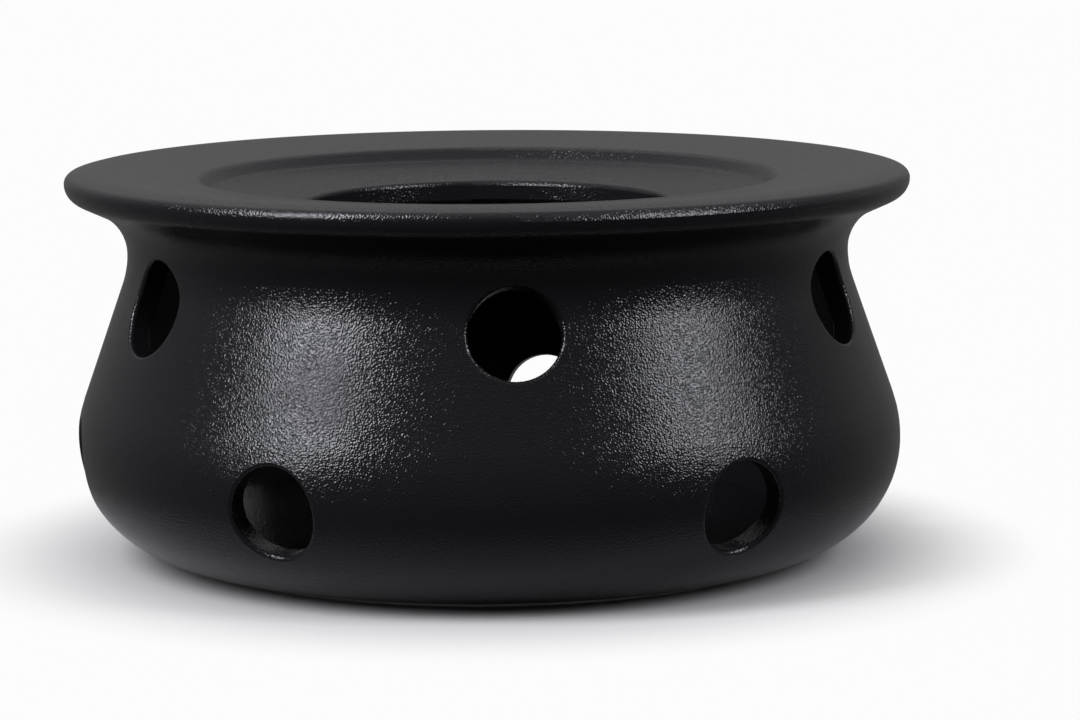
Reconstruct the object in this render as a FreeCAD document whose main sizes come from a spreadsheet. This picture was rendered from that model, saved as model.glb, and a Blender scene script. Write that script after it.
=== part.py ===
import FreeCAD, Part
import math
import os
from collections import namedtuple

import Sketcher

# Driving dimensions in millimetres and degrees.
# A drop is measured down from the top of the rim, a height up from the table.
SIZES = {
    "height": 76.0,
    "lip_radius": 82.5,
    "lip_drop": 2.4,
    "lip_round_over": 1.8,
    "lip_round_under": 3.6,
    "lip_overhang": 12.0,
    "flare_angle": 24.5,
    "neck_drop": 16.3,
    "neck_bend_fall": 6.0,
    "belly_swell": 10.4,
    "belly_height": 22.6,
    "belly_bend_rise": 8.6,
    "foot_inset": 20.9,
    "foot_strip": 0.8,
    "foot_ring_width": 4.5,
    "foot_ring_depth": 1.2,
    "foot_ring_draft": 1.0,
    "foot_round": 0.4,
    "wall": 4.6,
    "crest_inset": 6.0,
    "rim_width": 19.0,
    "rim_fall": 1.75,
    "step_angle": 45.0,
    "step_round": 2.4,
    "seat_drop": 4.5,
    "seat_slope": 7.4,
    "opening_radius": 35.3,
    "mouth_round": 1.0,
    "plate_thickness": 4.6,
    "ramp_inset": 3.0,
    "ramp_width": 4.5,
    "ceiling_drop": 5.6,
    "ceiling_flare_angle": 65.0,
    "ceiling_round": 2.4,
    "vent_cut": 11.0,
    "vent_edge_outside": 0.7,
    "vent_edge_inside": 0.6,
    "upper_vent_lead": 1.3,
    "upper_vent_tilt": 18.0,
    "lower_vent_lead": -0.2,
    "lower_vent_tilt": -9.0,
}

# The hand-cut vents: direction in degrees anticlockwise from the front, drop of the
# middle below the neck or below the belly's widest line, and radius
UPPER_VENTS = {
    "upper_vent_one": (0.0, 7.5, 8.6),
    "upper_vent_two": (62.0, 6.9, 8.9),
    "upper_vent_three": (122.0, 7.5, 8.9),
    "upper_vent_four": (177.0, 7.5, 8.9),
    "upper_vent_five": (231.0, 7.5, 8.9),
    "upper_vent_six": (294.7, 7.3, 9.2),
}
LOWER_VENTS = {
    "lower_vent_one": (31.5, 3.9, 8.6),
    "lower_vent_two": (98.0, 3.6, 8.6),
    "lower_vent_three": (167.0, 4.5, 8.6),
    "lower_vent_four": (221.0, 3.6, 8.6),
    "lower_vent_five": (274.0, 3.6, 8.6),
    "lower_vent_six": (326.5, 3.4, 8.55),
}

# Radii and heights that follow from the driving dimensions
NECK_RADIUS = "lip_radius - lip_overhang"
BELLY_RADIUS = f"{NECK_RADIUS} + belly_swell"
FOOT_RADIUS = f"{BELLY_RADIUS} - foot_inset"
RING_RADIUS = f"{FOOT_RADIUS} - foot_ring_width"
BASE_RADIUS = f"{RING_RADIUS} - foot_ring_draft"
CREST_RADIUS = "lip_radius - crest_inset"
STEP_RADIUS = f"{CREST_RADIUS} - rim_width"
RAMP_RADIUS = f"{STEP_RADIUS} - ramp_inset"
CEILING_RADIUS = f"{RAMP_RADIUS} + ramp_width"
LIP_HEIGHT = "height - lip_drop"
NECK_HEIGHT = "height - neck_drop"
RIM_HEIGHT = "height - rim_fall"
SEAT_HEIGHT = "height - seat_drop"
PLATE_HEIGHT = f"{SEAT_HEIGHT} - plate_thickness"
CEILING_HEIGHT = "height - ceiling_drop"
FLOOR_HEIGHT = "foot_ring_depth + wall"

# The vents' rows: the height that their drops start from, and how far out they lie
ROWS = {
    "upper_vent": (NECK_HEIGHT, f"{NECK_RADIUS} + upper_vent_lead"),
    "lower_vent": ("belly_height", f"{BELLY_RADIUS} + lower_vent_lead"),
}

# The front of the warmer faces along -Y
FRONT = -90

# Two sizes that differ by less than this are the same
TOUCH = 1e-4

START, END, CENTRE = range(1, 4)
ORIGIN = (-1, START)

# A line or arc of the section: its two ends in the order of travel, and its centre
Piece = namedtuple("Piece", "index first last centre")


def value(formula):
    """What a formula of names, joined by plus and minus signs, comes to."""
    total = 0.0
    sign = 1
    for word in formula.split():
        if word in ("+", "-"):
            sign = 1 if word == "+" else -1
        else:
            total += sign * SIZES[word]
    return total


def at(centre, radius, angle):
    """The point of a circle at an angle, in degrees."""
    turn = math.radians(angle)
    return centre[0] + radius * math.cos(turn), centre[1] + radius * math.sin(turn)


def in_sheet(formula):
    """The same formula, reading the sheet."""
    words = formula.split()
    return " ".join(word if word in ("+", "-") else f"Sizes.{word}" for word in words)


def make_sheet(doc):
    """One row for each dimension: its name, and its value under the same alias."""
    sheet = doc.addObject("Spreadsheet::Sheet", "Sizes")
    rows = dict(SIZES)
    for vent, (turn, drop, radius) in {**UPPER_VENTS, **LOWER_VENTS}.items():
        rows.update({f"{vent}_turn": turn, f"{vent}_drop": drop, f"{vent}_radius": radius})
    for row, (name, number) in enumerate(rows.items(), start=1):
        sheet.set(f"A{row}", name)
        sheet.set(f"B{row}", str(number))
        sheet.setAlias(f"B{row}", name)
    return sheet


def origin_plane(body, role):
    return next(f for f in body.Origin.OriginFeatures if f.Role == role)


class Section:
    """A closed chain of lines and arcs in a sketch, x outward and y upward.

    The pieces are drawn near their place, and the rules and sizes then settle them.
    """

    def __init__(self, sketch):
        self.sketch = sketch
        self.pieces = []

    def line(self, start, end):
        segment = Part.LineSegment(FreeCAD.Vector(*start, 0), FreeCAD.Vector(*end, 0))
        return self.keep(segment, START, END)

    def arc(self, centre, radius, first, last):
        """An arc that is travelled from the first to the last angle, in degrees."""
        circle = Part.Circle(FreeCAD.Vector(*centre, 0), FreeCAD.Vector(0, 0, 1), radius)
        low, high = sorted((math.radians(first), math.radians(last)))
        ends = (START, END) if first < last else (END, START)
        return self.keep(Part.ArcOfCircle(circle, low, high), *ends)

    def arc_inside(self, outer, first, last, wall):
        """An arc about the same centre as an outer one, a wall away from it."""
        circle = self.sketch.Geometry[outer.index]
        inner = self.arc((circle.Center.x, circle.Center.y), circle.Radius + wall, first, last)
        self.rule("Coincident", *inner.centre, *outer.centre)
        return inner

    def keep(self, curve, first, last):
        index = self.sketch.addGeometry(curve, False)
        piece = Piece(index, (index, first), (index, last), (index, CENTRE))
        self.pieces.append(piece)
        return piece

    def rule(self, kind, *args):
        return self.sketch.addConstraint(Sketcher.Constraint(kind, *args))

    def join(self, corners):
        """Joins each piece to the next one, smoothly but for those that end in a corner."""
        for here, there in zip(self.pieces, self.pieces[1:] + self.pieces[:1]):
            kind = "Coincident" if here in corners else "Tangent"
            self.rule(kind, *here.last, *there.first)

    def size(self, kind, *args):
        """A dimension: where it applies, and the formula that it follows."""
        *where, formula = args
        number = self.rule(kind, *where, value(formula))
        self.sketch.setExpression(f"Constraints[{number}]", in_sheet(formula))

    def place(self, point, radius, height):
        """A point of a piece, by its distance from the axis and its height."""
        self.size("DistanceX", *ORIGIN, *point, radius)
        self.size("DistanceY", *ORIGIN, *point, height)

    def slope(self, line, name, inward=False):
        """A line's angle to the table. It travels up and outward, or else down and inward."""
        turn = 180 if inward else 0
        number = self.rule("Angle", line.index, math.radians(SIZES[name] - turn))
        self.sketch.setExpression(f"Constraints[{number}]", f"(Sizes.{name} - {turn}) * 1 deg")


def shoulder_lean():
    """How far the straight shoulder leans inward, in degrees from upright."""
    rise = value(f"{NECK_HEIGHT} - belly_height")
    bends = SIZES["belly_bend_rise"] + SIZES["neck_bend_fall"]
    return math.degrees(math.atan2(SIZES["belly_swell"], rise - bends / 2))


def shoulder_arcs():
    """The belly's arc below the straight shoulder and the neck's above: centre and radius."""
    lean = math.sin(math.radians(shoulder_lean()))
    belly = SIZES["belly_bend_rise"] / lean
    neck = SIZES["neck_bend_fall"] / lean
    belly_centre = (value(BELLY_RADIUS) - belly, SIZES["belly_height"])
    neck_centre = (value(NECK_RADIUS) + neck, value(NECK_HEIGHT))
    return (belly_centre, belly), (neck_centre, neck)


def draw_foot_and_belly(section):
    """Foot ring's tread, bare clay strip, and the belly to its shoulder."""
    foot_x = value(FOOT_RADIUS)
    strip_y = SIZES["foot_strip"]
    belly_y = SIZES["belly_height"]
    inset = SIZES["foot_inset"]
    bend = ((belly_y - strip_y) ** 2 + inset ** 2) / (2 * inset)
    lowest = math.degrees(math.asin((belly_y - strip_y) / bend))
    tread = section.line((value(RING_RADIUS), 0), (foot_x, 0))
    strip = section.line((foot_x, 0), (foot_x, strip_y))
    under = section.arc((value(BELLY_RADIUS) - bend, belly_y), bend, -lowest, 0)
    shoulder, _ = shoulder_arcs()
    belly = section.arc(*shoulder, 0, shoulder_lean())

    section.rule("Horizontal", tread.index)
    section.rule("Vertical", strip.index)
    section.rule("Horizontal", *under.centre, *belly.first)
    section.rule("PointOnObject", *tread.first, -1)
    section.size("DistanceX", *ORIGIN, *tread.first, RING_RADIUS)
    section.place(strip.last, FOOT_RADIUS, "foot_strip")
    section.place(belly.first, BELLY_RADIUS, "belly_height")
    return tread, strip, under, belly


def draw_shoulder_and_neck(section):
    """Straight conical shoulder, and the hollow neck with the lip flaring out over it."""
    lean = shoulder_lean()
    belly, neck = shoulder_arcs()
    shoulder = section.line(at(*belly, lean), at(*neck, 180 + lean))
    neck_low = section.arc(*neck, 180 + lean, 180)

    turn = 90 - SIZES["flare_angle"]
    rise = value(f"{LIP_HEIGHT} - height + neck_drop") * math.sin(math.radians(turn))
    reach = SIZES["lip_overhang"] * math.cos(math.radians(turn))
    under = SIZES["lip_round_under"]
    bend = (rise - reach) / (1 - math.cos(math.radians(turn))) - under
    centre = (value(NECK_RADIUS) + bend, value(NECK_HEIGHT))
    lip_centre = (value("lip_radius") - under, value(LIP_HEIGHT))
    neck_high = section.arc(centre, bend, 180, 180 - turn)
    flare = section.line(at(centre, bend, 180 - turn), at(lip_centre, under, -turn))
    lip_under = section.arc(lip_centre, under, -turn, 0)

    section.size("DistanceY", *ORIGIN, *shoulder.first, "belly_height + belly_bend_rise")
    section.size("DistanceY", *ORIGIN, *shoulder.last, f"{NECK_HEIGHT} - neck_bend_fall")
    section.rule("Horizontal", *neck_low.centre, *neck_high.first)
    section.place(neck_high.first, NECK_RADIUS, NECK_HEIGHT)
    section.slope(flare, "flare_angle")
    section.size("Radius", lip_under.index, "lip_round_under")
    return neck_low, neck_high, lip_under


def crest_arc():
    """The crest's arc, level at its top: its radius, and the angle where it leaves the lip."""
    over = SIZES["lip_round_over"]
    reach = SIZES["crest_inset"] - over
    corner = 90 - math.degrees(2 * math.atan2(SIZES["lip_drop"] - over, reach))
    return over + reach / math.cos(math.radians(corner)), corner


def rim_slope():
    """How steeply the rim falls inward from the crest to the step's edge, in degrees."""
    bend, _ = crest_arc()
    width = SIZES["rim_width"]
    rise = bend - SIZES["rim_fall"]
    return math.degrees(math.atan2(width, rise) - math.acos(bend / math.hypot(width, rise)))


def seat_foot():
    """Where the hollow of the step ends on the seat: distance from the axis, and height."""
    bend = SIZES["step_round"]
    slopes = (rim_slope(), SIZES["step_angle"], SIZES["seat_slope"])
    rim, step, seat = (math.radians(slope) for slope in slopes)
    rounds = bend * (math.cos(rim) + math.cos(seat) - 2 * math.cos(step))
    reach = bend * (2 * math.sin(step) - math.sin(rim) - math.sin(seat))
    run = (SIZES["seat_drop"] - SIZES["rim_fall"] - rounds) / math.tan(step)
    return value(STEP_RADIUS) - reach - run, value(SEAT_HEIGHT)


def draw_rim(section, lip_under):
    """Round lip, crest, and the rim that falls straight inward to the step's edge."""
    over = SIZES["lip_round_over"]
    bend, corner = crest_arc()
    centre = (value(CREST_RADIUS), SIZES["height"] - bend)
    turn = 90 + rim_slope()
    lip_over = section.arc((value("lip_radius") - over, value(LIP_HEIGHT)), over, 0, corner)
    crest = section.arc(centre, bend, corner, 90)
    brow = section.arc(centre, bend, 90, turn)
    rim = section.line(at(centre, bend, turn), (value(STEP_RADIUS), value(RIM_HEIGHT)))

    section.rule("Horizontal", *lip_under.centre, *lip_over.first)
    section.place(lip_over.first, "lip_radius", LIP_HEIGHT)
    section.size("Radius", lip_over.index, "lip_round_over")
    section.rule("Vertical", *crest.centre, *brow.first)
    section.rule("Coincident", *crest.centre, *brow.centre)
    section.place(brow.first, CREST_RADIUS, "height")
    section.place(rim.last, STEP_RADIUS, RIM_HEIGHT)
    return crest


def draw_seat(section):
    """Rounded step down from the rim, and the seat that falls gently to its mouth."""
    bend = SIZES["step_round"]
    angle = SIZES["step_angle"]
    slope = SIZES["seat_slope"]
    foot = seat_foot()
    edge_centre = at((value(STEP_RADIUS), value(RIM_HEIGHT)), -bend, 90 + rim_slope())
    hollow_centre = at(foot, bend, 90 + slope)
    edge = section.arc(edge_centre, bend, 90 + rim_slope(), 90 + angle)
    step = section.line(at(edge_centre, bend, 90 + angle), at(hollow_centre, bend, angle - 90))
    hollow = section.arc(hollow_centre, bend, angle - 90, slope - 90)
    mouth_x = value("opening_radius + mouth_round")
    mouth_y = foot[1] - (foot[0] - mouth_x) * math.tan(math.radians(slope))
    seat = section.line(foot, (mouth_x, mouth_y))

    section.size("Radius", edge.index, "step_round")
    section.slope(step, "step_angle", inward=True)
    section.rule("Equal", hollow.index, edge.index)
    section.size("DistanceY", *ORIGIN, *hollow.last, SEAT_HEIGHT)
    section.slope(seat, "seat_slope", inward=True)
    return seat


def draw_mouth(section, seat):
    """Upright wall of the mouth between its two rounded edges, and the plate's underside."""
    soft = SIZES["mouth_round"]
    slope = SIZES["seat_slope"]
    turn = math.radians(slope)
    mouth = section.sketch.Geometry[seat.index].EndPoint
    ramp_foot = (value(RAMP_RADIUS), value(PLATE_HEIGHT))
    high = (mouth.x, mouth.y - soft / math.cos(turn))
    drop = (ramp_foot[0] - mouth.x) * math.tan(turn)
    low = (mouth.x, ramp_foot[1] - drop + soft / math.cos(turn))
    edge_high = section.arc(high, soft, 90 + slope, 180)
    wall = section.line(at(high, soft, 180), at(low, soft, 180))
    edge_low = section.arc(low, soft, 180, 270 + slope)
    plate = section.line(at(low, soft, 270 + slope), ramp_foot)

    section.size("Radius", edge_high.index, "mouth_round")
    section.rule("Vertical", wall.index)
    section.size("DistanceX", *ORIGIN, *wall.first, "opening_radius")
    section.rule("Equal", edge_low.index, edge_high.index)
    section.slope(plate, "seat_slope")
    section.place(plate.last, RAMP_RADIUS, PLATE_HEIGHT)
    return plate


def draw_ceiling(section):
    """From the plate's underside up to the ceiling under the rim."""
    ceiling_y = value(CEILING_HEIGHT)
    foot = (value(RAMP_RADIUS), value(PLATE_HEIGHT))
    ramp = section.line(foot, (value(CEILING_RADIUS), ceiling_y))
    ceiling = section.line((value(CEILING_RADIUS), ceiling_y), (value(NECK_RADIUS), ceiling_y))

    section.rule("Horizontal", ceiling.index)
    section.place(ceiling.first, CEILING_RADIUS, CEILING_HEIGHT)
    return ramp, ceiling


def draw_inside(section, under, belly, neck_low, neck_high):
    """Inside of the neck, shoulder and belly, everywhere one wall in from the outside."""
    wall = SIZES["wall"]
    lean = shoulder_lean()
    angle = SIZES["ceiling_flare_angle"]
    (belly_centre, belly_bend), (neck_centre, neck_bend) = shoulder_arcs()
    circle = section.sketch.Geometry[neck_high.index]
    top = at((circle.Center.x, circle.Center.y), circle.Radius + wall, 90 + angle)
    ceiling_y = value(CEILING_HEIGHT)
    corner_x = top[0] + (ceiling_y - top[1]) / math.tan(math.radians(angle))
    flare = section.line((corner_x, ceiling_y), top)
    high = section.arc_inside(neck_high, 90 + angle, 180, wall)
    low = section.arc_inside(neck_low, 180, 180 + lean, wall)
    shoulder_top = at(neck_centre, neck_bend + wall, 180 + lean)
    cone = section.line(shoulder_top, at(belly_centre, belly_bend - wall, lean))
    middle = section.arc_inside(belly, lean, 0, -wall)
    circle = section.sketch.Geometry[under.index]
    fall = circle.Center.y - value(FLOOR_HEIGHT)
    lowest = math.degrees(math.asin(fall / (circle.Radius - wall)))
    base = section.arc_inside(under, 0, -lowest, -wall)

    section.slope(flare, "ceiling_flare_angle", inward=True)
    section.size("DistanceX", *ORIGIN, *low.first, f"{NECK_RADIUS} - wall")
    section.size("DistanceX", *ORIGIN, *middle.last, f"{BELLY_RADIUS} - wall")
    return base


def draw_floor(section):
    """Closed floor in to the axis, and the shallow hollow inside the foot ring."""
    floor_y = value(FLOOR_HEIGHT)
    depth = SIZES["foot_ring_depth"]
    base_x = value(BASE_RADIUS)
    floor = section.line((value(FOOT_RADIUS), floor_y), (0, floor_y))
    axis = section.line((0, floor_y), (0, depth))
    hollow = section.line((0, depth), (base_x, depth))
    ring = section.line((base_x, depth), (value(RING_RADIUS), 0))

    section.rule("Horizontal", floor.index)
    section.rule("Vertical", axis.index)
    section.rule("PointOnObject", *axis.first, -2)
    section.size("DistanceY", *ORIGIN, *axis.first, FLOOR_HEIGHT)
    section.rule("Horizontal", hollow.index)
    section.place(hollow.last, BASE_RADIUS, "foot_ring_depth")
    return floor, axis, hollow, ring


def draw_section(sketch):
    """The wall's section, travelled anticlockwise from the foot ring's inner edge."""
    section = Section(sketch)
    tread, strip, under, belly = draw_foot_and_belly(section)
    neck_low, neck_high, lip_under = draw_shoulder_and_neck(section)
    crest = draw_rim(section, lip_under)
    seat = draw_seat(section)
    plate = draw_mouth(section, seat)
    ramp, ceiling = draw_ceiling(section)
    base = draw_inside(section, under, belly, neck_low, neck_high)
    floor, axis, hollow, ring = draw_floor(section)
    corners = (tread, strip, crest, plate, ramp, ceiling, base, floor, axis, hollow, ring)
    section.join(corners)


def turn_shell(body):
    """The closed shell, turned about the upright axis."""
    sketch = body.newObject("Sketcher::SketchObject", "wall_section")
    sketch.AttachmentSupport = [(origin_plane(body, "XZ_Plane"), "")]
    sketch.MapMode = "FlatFace"
    draw_section(sketch)
    shell = body.newObject("PartDesign::Revolution", "turned_shell")
    shell.Profile = sketch
    shell.ReferenceAxis = (sketch, ["V_Axis"])
    shell.Angle = 360
    return shell


def circles(shape, height, radius=0):
    """The names of a shape's level round edges at a height, from a radius outward."""
    names = []
    for number, edge in enumerate(shape.Edges, start=1):
        curve = edge.Curve
        if not isinstance(curve, Part.Circle):
            continue
        if abs(curve.Center.z - height) < TOUCH and curve.Radius > radius - TOUCH:
            names.append(f"Edge{number}")
    return names


def bore_at(shape, edge):
    """The bore of the vent that an edge rims, or None. No other round wall lies on its side."""
    if isinstance(edge.Curve, Part.Line):
        return None
    for face in shape.ancestorsOfType(edge, Part.Face):
        surface = face.Surface
        if isinstance(surface, Part.Cylinder) and abs(surface.Axis.z) < 1 - TOUCH:
            return face
    return None


def rims(shape, outside):
    """The names of the vents' edges on the outside of the wall, or on its inside."""
    names = []
    for number, edge in enumerate(shape.Edges, start=1):
        bore = bore_at(shape, edge)
        if bore is None:
            continue
        middle = edge.valueAt((edge.FirstParameter + edge.LastParameter) / 2)
        centre = bore.CenterOfMass
        axis = bore.Surface.Axis
        outward = 1 if axis.x * centre.x + axis.y * centre.y > 0 else -1
        if ((middle - centre).dot(axis) * outward > 0) == outside:
            names.append(f"Edge{number}")
    return names


def soften(doc, body, name, base, edges, size):
    fillet = body.newObject("PartDesign::Fillet", name)
    fillet.Base = (base, edges)
    fillet.setExpression("Radius", f"Sizes.{size}")
    doc.recompute()
    return fillet


def soften_shell(doc, body, shell):
    """Rounds the ceiling's corners and the foot ring."""
    corners = circles(shell.Shape, value(CEILING_HEIGHT), value(CEILING_RADIUS))
    corners += circles(shell.Shape, value(PLATE_HEIGHT), value(RAMP_RADIUS))
    ceiling = soften(doc, body, "soft_ceiling", shell, corners, "ceiling_round")
    soften(doc, body, "soft_foot", ceiling, circles(ceiling.Shape, 0), "foot_round")


def soften_vents(doc, body, cut):
    """Rounds both rims of every vent, as glaze does on a wiped edge."""
    outside = soften(doc, body, "soft_rims_outside", cut, rims(cut.Shape, True), "vent_edge_outside")
    inner = rims(outside.Shape, False)
    soften(doc, body, "soft_rims_inside", outside, inner, "vent_edge_inside")


def cut_vent(body, name, row):
    """One round vent, square to the wall: it tilts up at the neck and down at the belly."""
    middle, radius = ROWS[row]
    vent = body.newObject("PartDesign::SubtractiveCylinder", name)
    vent.AttachmentSupport = [(origin_plane(body, "XY_Plane"), "")]
    vent.MapMode = "FlatFace"
    turn = f"placement(vector(0; 0; 0); rotation({FRONT} + Sizes.{name}_turn; 0; 0))"
    height = in_sheet(f"{middle} - {name}_drop")
    spot = f"vector({in_sheet(radius)}; 0; {height})"
    aim = f"placement({spot}; rotation(0; 90 - Sizes.{row}_tilt; 0))"
    sink = "placement(vector(0; 0; -Sizes.vent_cut); rotation(0; 0; 0))"
    vent.setExpression("AttachmentOffset", f"{turn} * {aim} * {sink}")
    vent.setExpression("Radius", f"Sizes.{name}_radius")
    vent.setExpression("Height", "2 * Sizes.vent_cut")
    return vent


def check(doc, body):
    for item in doc.Objects:
        if "Invalid" in item.State or "Error" in item.State:
            raise RuntimeError(f"{item.Name} failed: {item.State}")
    if body.Shape.isNull() or not body.Shape.isValid():
        raise RuntimeError(f"{body.Label} has no valid shape")


def main():
    doc = FreeCAD.newDocument("teapot_warmer")
    make_sheet(doc)
    body = doc.addObject("PartDesign::Body", "warmer_body")
    body.Label = "warmer_body"
    doc.recompute()
    shell = turn_shell(body)
    doc.recompute()
    soften_shell(doc, body, shell)
    vents = [cut_vent(body, name, "upper_vent") for name in UPPER_VENTS]
    vents += [cut_vent(body, name, "lower_vent") for name in LOWER_VENTS]
    doc.recompute()
    soften_vents(doc, body, vents[-1])
    check(doc, body)
    os.makedirs("parts", exist_ok=True)
    body.Shape.exportStep(f"parts/{body.Label}.step")
    print(f"{body.Label}: {body.Shape.Volume / 1000:.1f} cm3, {len(body.Shape.Faces)} faces")


main()
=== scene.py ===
import math

import bpy
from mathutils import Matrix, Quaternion, Vector

MM = 0.001

# The camera, in millimetres and degrees: where it stands, what it looks at and its turn
CAMERA_PLACE = (-53.0, -798.2, 152.6)
CAMERA_AIM = (10.1, 0.0, 37.1)
CAMERA_ROLL = -0.405
LENS = 136.6
SENSOR = 36.0

# Softboxes: direction from the front, elevation, distance, width, height, power in watts
SOFTBOXES = {
    "softbox_left": (-60.0, 38.0, 900.0, 280.0, 860.0, 11.5),
    "softbox_right": (60.0, 31.0, 900.0, 280.0, 640.0, 5.6),
}
SOFTBOX_AIM = (0.0, 0.0, 40.0)

# The table, in millimetres: half its side, and the distances between which it fades out. The fade
# is painted shade: grey near the object, clearing to the white background further out
FLOOR_SIZE = 300.0
FLOOR_SHADE_FADE = (65.0, 112.0)
# The table's grey, seen only near the object: painted shade on top of the real shadows
FLOOR_SHADE_GREY = (0.4, 0.4, 0.42, 1.0)

# The room as light: its strength behind and in front of the object, the share of it that
# is left below the horizon, and the strength and direction of the ceiling
BACK_LIGHT = 0.25
FRONT_LIGHT = 0.13
LOW_SHARE = 0.6
CEILING_LIGHT = 0.45
CEILING_WAY = (0.0, 0.2, 0.98)

# Where a ray's direction passes from front to back, from low to high and into the ceiling
DEPTH_SPAN = (-0.35, 0.7)
RISE_SPAN = (-0.15, 0.3)
CEILING_SPAN = (0.35, 0.95)

# What the camera sees behind the object
WHITE = (1.0, 1.0, 1.0, 1.0)
BACKGROUND_LIGHT = 0.975

# The glaze, and the bare clay of the foot up to a height in millimetres
GLAZE_COLOUR = (0.0065, 0.0065, 0.0078, 1.0)
GLAZE_ROUGHNESS = 0.16
GLAZE_SPECULAR = 0.3
GLAZE_TINT = (0.92, 0.92, 1.0, 1.0)
CLAY_COLOUR = (0.7, 0.7, 0.7, 1.0)
CLAY_ROUGHNESS = 0.7
CLAY_HEIGHT = 0.8

# The pebbled grain: its scale per metre and its depth in millimetres
GRAIN_SCALE = 3000.0
GRAIN_DEPTH = 0.1

# Sockets of a mix node by its data type: its two values and its result
MIX_SOCKETS = {"FLOAT": (2, 3, 0), "RGBA": (6, 7, 2)}


class Nodes:
    """A shader's node tree, written one node at a time."""

    def __init__(self, tree):
        self.tree = tree
        tree.nodes.clear()

    def add(self, kind, inputs=None, **settings):
        """A node with its settings. Each input is a value, or a socket to link from."""
        node = self.tree.nodes.new(kind)
        for key, value in settings.items():
            setattr(node, key, value)
        for key, value in (inputs or {}).items():
            if isinstance(value, bpy.types.NodeSocket):
                self.tree.links.new(value, node.inputs[key])
            else:
                node.inputs[key].default_value = value
        return node

    def ramp(self, value, span, low, high):
        """A smooth step from low to high while the value crosses the span."""
        ends = {"From Min": span[0], "From Max": span[1], "To Min": low, "To Max": high}
        step = self.add(
            "ShaderNodeMapRange", {"Value": value, **ends}, interpolation_type="SMOOTHSTEP"
        )
        return step.outputs[0]

    def blend(self, data_type, share, first, second):
        """The first value where the share is 0, and the second where it is 1."""
        first_socket, second_socket, result = MIX_SOCKETS[data_type]
        values = {0: share, first_socket: first, second_socket: second}
        return self.add("ShaderNodeMix", values, data_type=data_type).outputs[result]


def new_material(name):
    material = bpy.data.materials.new(name)
    material.use_nodes = True
    return material, Nodes(material.node_tree)


def glaze_material():
    """Satin black glaze with a fine pebbled grain, and bare clay at the foot."""
    material, nodes = new_material("satin_black_glaze")
    place = nodes.add("ShaderNodeTexCoord").outputs["Object"]
    height = nodes.add("ShaderNodeSeparateXYZ", {0: place}).outputs["Z"]
    foot = nodes.add("ShaderNodeMath", {0: height, 1: CLAY_HEIGHT * MM}, operation="LESS_THAN")
    clay = foot.outputs[0]
    grain = nodes.add(
        "ShaderNodeTexNoise", {"Vector": place, "Scale": GRAIN_SCALE, "Detail": 0.0}
    )
    bump = nodes.add(
        "ShaderNodeBump",
        {"Height": grain.outputs["Fac"], "Strength": 1.0, "Distance": GRAIN_DEPTH * MM},
    )
    shader = nodes.add(
        "ShaderNodeBsdfPrincipled",
        {
            "Base Color": nodes.blend("RGBA", clay, GLAZE_COLOUR, CLAY_COLOUR),
            "Roughness": nodes.blend("FLOAT", clay, GLAZE_ROUGHNESS, CLAY_ROUGHNESS),
            "Specular IOR Level": GLAZE_SPECULAR,
            "Specular Tint": GLAZE_TINT,
            "Normal": bump.outputs["Normal"],
        },
    )
    nodes.add("ShaderNodeOutputMaterial", {"Surface": shader.outputs["BSDF"]})
    return material


def floor_material():
    """A grey table that clears into the white background away from the object: painted shade around
    the object, on top of its real shadows.
    """
    material, nodes = new_material("floor_painted_shade")
    place = nodes.add("ShaderNodeTexCoord").outputs["Object"]
    reach = nodes.add("ShaderNodeVectorMath", {0: place}, operation="LENGTH").outputs["Value"]
    # Painted shade: the grey table near the object, clear with white behind it further out
    fade = nodes.ramp(reach, [end * MM for end in FLOOR_SHADE_FADE], 0.0, 1.0)
    table = nodes.add("ShaderNodeBsdfDiffuse", {"Color": FLOOR_SHADE_GREY})
    clear = nodes.add("ShaderNodeBsdfTransparent")
    both = nodes.add("ShaderNodeMixShader", {0: fade, 1: table.outputs[0], 2: clear.outputs[0]})
    nodes.add("ShaderNodeOutputMaterial", {"Surface": both.outputs[0]})
    return material


def make_floor():
    size = FLOOR_SIZE * MM
    mesh = bpy.data.meshes.new("floor")
    corners = [(-size, -size, 0), (size, -size, 0), (size, size, 0), (-size, size, 0)]
    mesh.from_pydata(corners, [], [(0, 1, 2, 3)])
    floor = bpy.data.objects.new("floor", mesh)
    bpy.context.collection.objects.link(floor)
    mesh.materials.append(floor_material())


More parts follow.
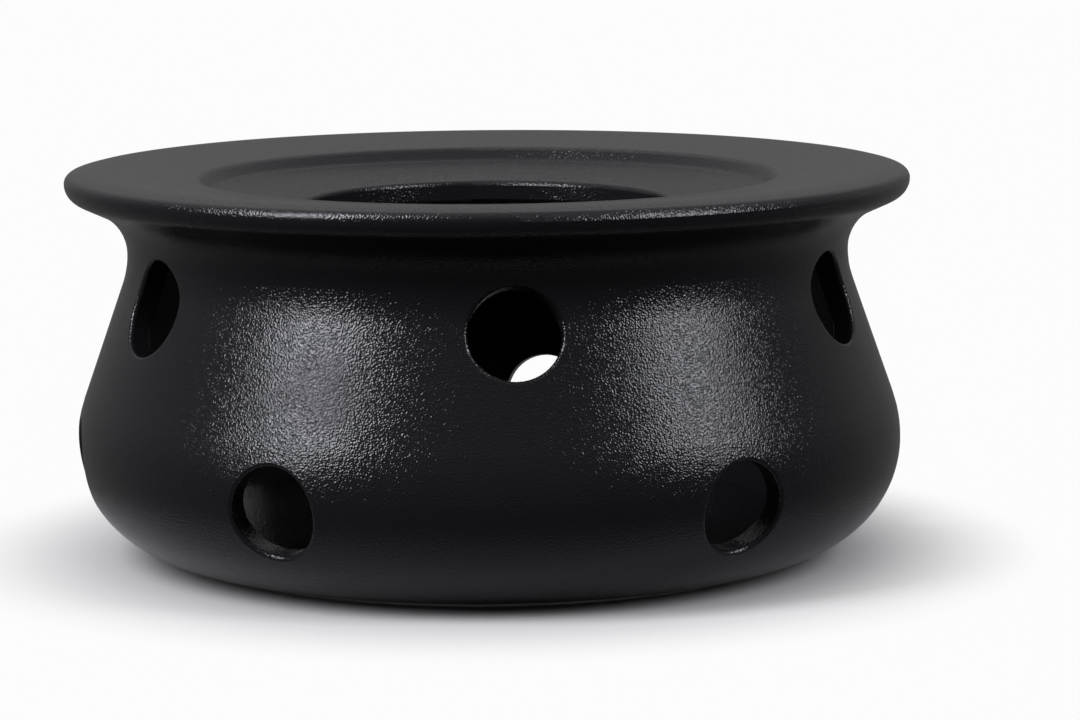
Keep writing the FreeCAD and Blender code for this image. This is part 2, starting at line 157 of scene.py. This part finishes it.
def make_world():
    """White for the camera; as light, a dim room that is darker in front, with a ceiling."""
    world = bpy.data.worlds.new("studio")
    bpy.context.scene.world = world
    world.use_nodes = True
    nodes = Nodes(world.node_tree)
    path = nodes.add("ShaderNodeLightPath").outputs
    seen = nodes.add(
        "ShaderNodeMath",
        {0: path["Is Camera Ray"], 1: path["Is Transmission Ray"]},
        operation="MAXIMUM",
    )
    look = nodes.add("ShaderNodeTexCoord").outputs["Generated"]
    way = nodes.add("ShaderNodeSeparateXYZ", {0: look}).outputs
    height = nodes.add(
        "ShaderNodeVectorMath", {0: look, 1: CEILING_WAY}, operation="DOT_PRODUCT"
    )
    room = nodes.ramp(way["Y"], DEPTH_SPAN, FRONT_LIGHT, BACK_LIGHT)
    ceiling = nodes.ramp(height.outputs["Value"], CEILING_SPAN, 0.0, CEILING_LIGHT)
    lift = nodes.ramp(way["Z"], RISE_SPAN, LOW_SHARE, 1.0)
    strength = nodes.add("ShaderNodeMath", {0: room, 1: lift, 2: ceiling}, operation="MULTIPLY_ADD")
    light = nodes.add("ShaderNodeBackground", {"Color": WHITE, "Strength": strength.outputs[0]})
    white = nodes.add("ShaderNodeBackground", {"Color": WHITE, "Strength": BACKGROUND_LIGHT})
    both = nodes.add(
        "ShaderNodeMixShader", {0: seen.outputs[0], 1: light.outputs[0], 2: white.outputs[0]}
    )
    nodes.add("ShaderNodeOutputWorld", {"Surface": both.outputs[0]})


def make_softbox(name, turn, rise, distance, width, height, power):
    """An oval lamp that faces the object."""
    data = bpy.data.lights.new(name, "AREA")
    data.shape = "ELLIPSE"
    data.size = width * MM
    data.size_y = height * MM
    data.energy = power
    lamp = bpy.data.objects.new(name, data)
    bpy.context.collection.objects.link(lamp)
    turn = math.radians(turn)
    rise = math.radians(rise)
    level = distance * math.cos(rise)
    way = Vector((level * math.sin(turn), -level * math.cos(turn), distance * math.sin(rise)))
    lamp.location = (Vector(SOFTBOX_AIM) + way) * MM
    lamp.rotation_mode = "QUATERNION"
    lamp.rotation_quaternion = (-way).to_track_quat("-Z", "Y")


def make_camera():
    data = bpy.data.cameras.new("camera")
    data.lens = LENS
    data.sensor_width = SENSOR
    camera = bpy.data.objects.new("camera", data)
    bpy.context.collection.objects.link(camera)
    place = Vector(CAMERA_PLACE) * MM
    look = (Vector(CAMERA_AIM) * MM - place).to_track_quat("-Z", "Y")
    camera.location = place
    camera.rotation_mode = "QUATERNION"
    camera.rotation_quaternion = look @ Quaternion((0, 0, 1), math.radians(CAMERA_ROLL))
    bpy.context.scene.camera = camera


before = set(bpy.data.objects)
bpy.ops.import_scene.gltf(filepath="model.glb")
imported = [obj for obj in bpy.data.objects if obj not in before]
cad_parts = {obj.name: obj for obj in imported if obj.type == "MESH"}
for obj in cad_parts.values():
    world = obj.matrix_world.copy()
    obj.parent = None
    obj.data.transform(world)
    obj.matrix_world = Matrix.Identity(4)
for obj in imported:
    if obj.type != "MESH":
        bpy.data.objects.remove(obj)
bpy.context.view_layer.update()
make_camera()
make_world()
make_floor()
for softbox, settings in SOFTBOXES.items():
    make_softbox(softbox, *settings)
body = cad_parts["warmer_body"]
body.data.materials.clear()
body.data.materials.append(glaze_material())
bpy.context.scene.view_settings.view_transform = "Standard"
